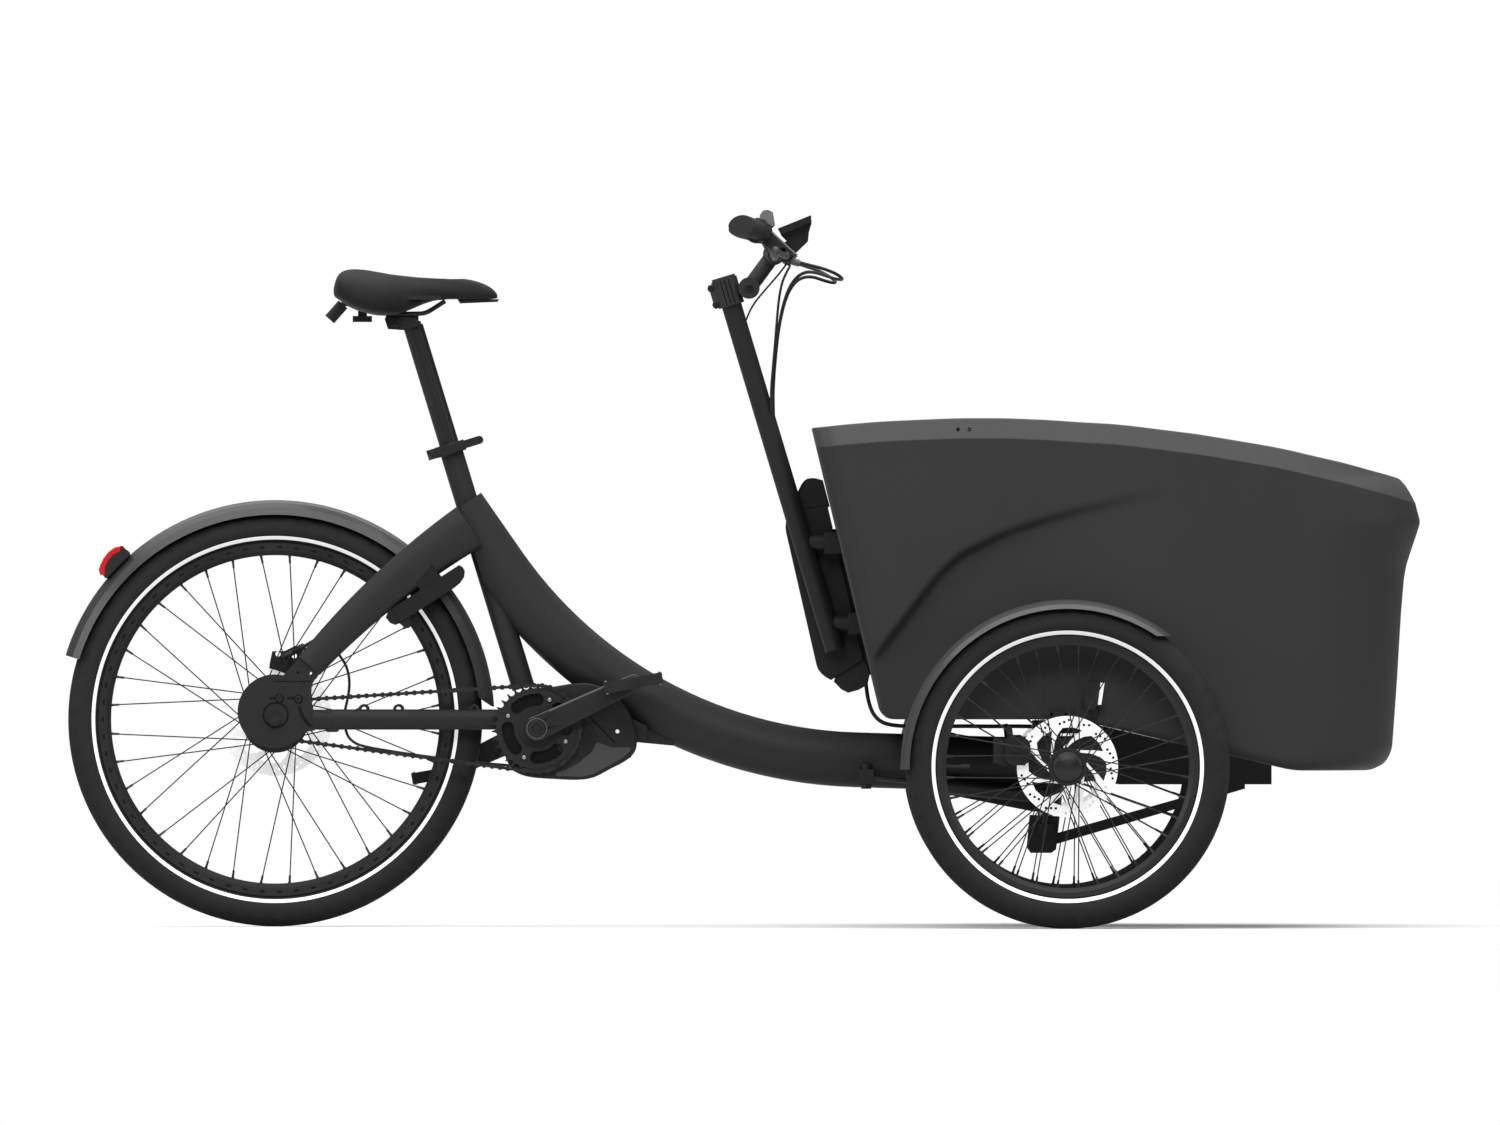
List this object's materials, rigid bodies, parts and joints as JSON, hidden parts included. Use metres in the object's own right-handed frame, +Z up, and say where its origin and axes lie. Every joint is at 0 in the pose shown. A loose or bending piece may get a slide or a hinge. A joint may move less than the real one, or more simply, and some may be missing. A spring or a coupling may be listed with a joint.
{
  "type": "cargo tricycle",
  "caption": "Electric cargo tricycle: one rear driven wheel, a steered pair of front wheels under an open cargo box, low curved frame, mid motor, battery and upright handlebar.",
  "frame": {"origin": "on the ground, under the middle of the whole tricycle's bounding box", "axes": "+X forward, from the saddle to the cargo box; +Y to the rider's left; +Z up"},
  "size_m": [2.1504, 0.858, 1.138],
  "materials": {
    "frame_paint": "matte dark grey powder coat",
    "black_metal": "satin black",
    "black_alloy": "black anodised",
    "steel": "plain",
    "disc_steel": "bright, drilled",
    "chain_steel": "oiled",
    "tyre": "black with a pale reflective line on each side",
    "box_shell": "matte black moulded shell",
    "black_plastic": "fine texture",
    "grey_plastic": "satin",
    "gloss_black": "gloss",
    "red_lens": "red lens in a black housing",
    "clear_lens": "white lens in a black housing",
    "cover": "black saddle cover",
    "rubber": "black"
  },
  "bodies": {
    "frame": {"main_tube": "frame_paint", "seat_tube": "frame_paint", "upper_stays": "frame_paint", "chain_stays": "frame_paint", "head_tube": "frame_paint", "kingpin_bearings": "steel", "motor_unit": "black_alloy", "motor_cover": "black_plastic", "rear_axle": "steel", "rear_fender": "black_plastic", "tail_light": "red_lens", "ring_lock": "black_plastic", "rear_caliper": "black_alloy", "rear_hoses": "rubber", "chain": "chain_steel", "seat_clamp": "black_alloy", "damper_rod": "steel"},
    "seat": {"seatpost": "black_alloy", "saddle_frame": "black_plastic", "saddle_cover": "cover"},
    "clamp_lever": {"clamp_lever": "black_alloy"},
    "crankset": {"crank_axles": "steel", "crank_arms": "black_alloy", "chainring": "black_metal"},
    "right_pedal": {"right_pedal": "black_plastic"},
    "left_pedal": {"left_pedal": "black_plastic"},
    "sprocket": {"sprocket": "chain_steel"},
    "rear_wheel": {"rear_tyre": "tyre", "rear_rim": "black_alloy", "rear_spokes": "black_metal", "rear_hub": "black_alloy", "rear_disc": "disc_steel"},
    "front": {"cargo_box": "box_shell", "front_subframe": "frame_paint", "lower_yoke": "frame_paint", "kingpin": "steel", "front_fenders": "grey_plastic", "front_calipers": "black_alloy", "steering_column": "frame_paint", "stem": "black_alloy", "handlebar": "black_alloy", "grips": "rubber", "display": "gloss_black", "brake_perches": "black_plastic", "control_cables": "rubber", "battery": "black_plastic", "battery_mount": "black_alloy", "headlights": "clear_lens"},
    "twist_shifter": {"twist_shifter": "rubber"},
    "right_brake_lever": {"right_brake_lever": "black_alloy"},
    "left_brake_lever": {"left_brake_lever": "black_alloy"},
    "damper_cylinder": {"damper_cylinder": "black_metal"},
    "right_front_wheel": {"right_front_tyre": "tyre", "right_front_rim": "black_alloy", "right_front_spokes": "black_metal", "right_front_hub": "disc_steel"},
    "left_front_wheel": {"left_front_tyre": "tyre", "left_front_rim": "black_alloy", "left_front_spokes": "black_metal", "left_front_hub": "disc_steel"}
  },
  "joints": [
    {"name": "steering", "type": "hinge", "parent": "frame", "child": "front", "pos_m": [0.4822, 0, 0.1771], "axis": [0.0995, 0, 0.995], "range_deg": [-40, 40]},
    {"name": "rear_wheel_spin", "type": "hinge", "parent": "frame", "child": "rear_wheel", "pos_m": [-0.7417, 0, 0.3292], "axis": [0, 1, 0], "continuous": true},
    {"name": "right_front_wheel_spin", "type": "hinge", "parent": "front", "child": "right_front_wheel", "pos_m": [0.5148, -0.396, 0.2561], "axis": [0, 1, 0], "continuous": true},
    {"name": "left_front_wheel_spin", "type": "hinge", "parent": "front", "child": "left_front_wheel", "pos_m": [0.5148, 0.396, 0.2561], "axis": [0, 1, 0], "continuous": true},
    {"name": "crank_spin", "type": "hinge", "parent": "frame", "child": "crankset", "pos_m": [-0.3254, 0, 0.3148], "axis": [0, 1, 0], "continuous": true, "deforming": ["chain"]},
    {"name": "sprocket_spin", "type": "hinge", "parent": "frame", "child": "sprocket", "pos_m": [-0.7417, 0, 0.3292], "axis": [0, 1, 0], "continuous": true},
    {"name": "right_pedal_spin", "type": "hinge", "parent": "crankset", "child": "right_pedal", "pos_m": [-0.17183, -0.139, 0.38772], "axis": [0, 1, 0], "continuous": true},
    {"name": "left_pedal_spin", "type": "hinge", "parent": "crankset", "child": "left_pedal", "pos_m": [-0.47897, 0.139, 0.24188], "axis": [0, 1, 0], "continuous": true},
    {"name": "seatpost_slide", "type": "slide", "parent": "frame", "child": "seat", "axis": [-0.2917, 0, 0.9565], "range_m": [-0.12, 0.06]},
    {"name": "clamp_lever_swing", "type": "hinge", "parent": "frame", "child": "clamp_lever", "pos_m": [-0.49268, -0.0295, 0.75039], "axis": [0.2917, 0, -0.9565], "range_deg": [0, 150]},
    {"name": "twist_shifter_turn", "type": "hinge", "parent": "front", "child": "twist_shifter", "pos_m": [0.02635, -0.19058, 1.10475], "axis": [-0.1796, -0.9821, 0.0572], "range_deg": [-75, 75]},
    {"name": "right_brake_pull", "type": "hinge", "parent": "front", "child": "right_brake_lever", "pos_m": [0.07143, -0.17512, 1.06582], "axis": [-0.6669, 0.0788, -0.741], "range_deg": [0, 16], "stiffness_Nm_per_rad": 2, "springref_deg": -17.19},
    {"name": "left_brake_pull", "type": "hinge", "parent": "front", "child": "left_brake_lever", "pos_m": [0.07143, 0.17512, 1.06582], "axis": [0.6669, 0.0788, 0.741], "range_deg": [0, 16], "stiffness_Nm_per_rad": 2, "springref_deg": -17.19},
    {"name": "damper_slide", "type": "slide", "parent": "frame", "child": "damper_cylinder", "axis": [0.995, 0, -0.0995], "range_m": [-0.029, 0.029]}
  ],
  "couplings": [
    {"joint": "sprocket_spin", "follows": "crank_spin", "ratio": 2.4286},
    {"joint": "damper_slide", "follows": "steering", "m_per_rad": 0.0395}
  ]
}
